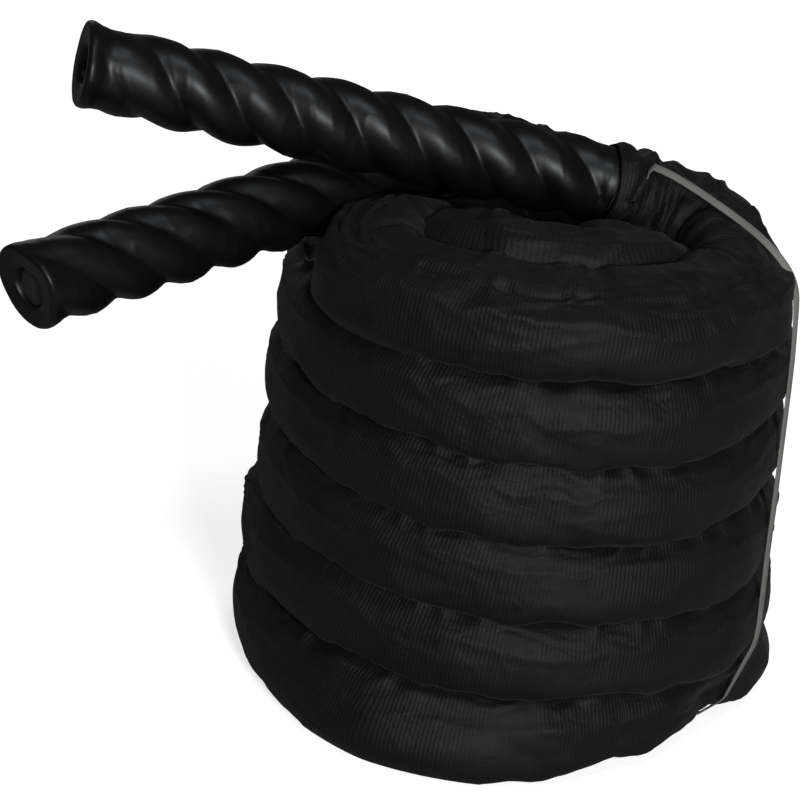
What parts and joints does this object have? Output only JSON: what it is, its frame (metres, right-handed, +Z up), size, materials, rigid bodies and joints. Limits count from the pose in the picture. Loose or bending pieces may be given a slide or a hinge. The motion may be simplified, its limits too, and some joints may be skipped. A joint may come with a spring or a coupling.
{
  "type": "battle rope",
  "caption": "Heavy training rope in a woven sleeve, wound into an upright coil held by a tie strap, with twisted heat-shrunk grips lying across the top.",
  "frame": {"origin": "centre of the overall box at floor level, under the coil and its two grips", "axes": "+Z up along the coil's axis, -X towards the ends of the grips, -Y towards the viewer"},
  "size_m": [0.4664, 0.3504, 0.3902],
  "materials": {
    "sleeve": "black woven nylon with a satin sheen",
    "rope": "black twisted polyester fibre",
    "grip": "glossy black heat-shrunk skin",
    "seal": "dark sealed rope end",
    "band": "black wrapped tape",
    "tie": "light grey narrow woven strap"
  },
  "bodies": {
    "coil": {"sleeve_coil": "sleeve", "sleeve_neck_upper": "sleeve", "sleeve_neck_lower": "sleeve", "rope_coil": "rope", "rope_neck_upper": "rope", "rope_neck_lower": "rope", "tie_strap": "tie", "tie_knot": "tie"},
    "upper_handle": {"grip_upper": "grip", "strand_upper_1": "rope", "strand_upper_2": "rope", "strand_upper_3": "rope", "end_seal_upper": "seal", "sleeve_band_upper": "band"},
    "lower_handle": {"grip_lower": "grip", "strand_lower_1": "rope", "strand_lower_2": "rope", "strand_lower_3": "rope", "end_seal_lower": "seal", "sleeve_band_lower": "band"}
  },
  "joints": [
    {"name": "upper_handle_bend", "type": "hinge", "parent": "coil", "child": "upper_handle", "pos_m": [0.1227, 0.0448, 0.304], "axis": [-0.2571, 0.9664, 0], "range_deg": [0, 35], "deforming": ["sleeve_neck_upper", "rope_neck_upper"]},
    {"name": "lower_handle_bend", "type": "hinge", "parent": "coil", "child": "lower_handle", "pos_m": [0.0147, 0.1078, 0.2898], "axis": [0, 0, -1], "range_deg": [0, 25], "deforming": ["sleeve_neck_lower", "rope_neck_lower"]}
  ]
}
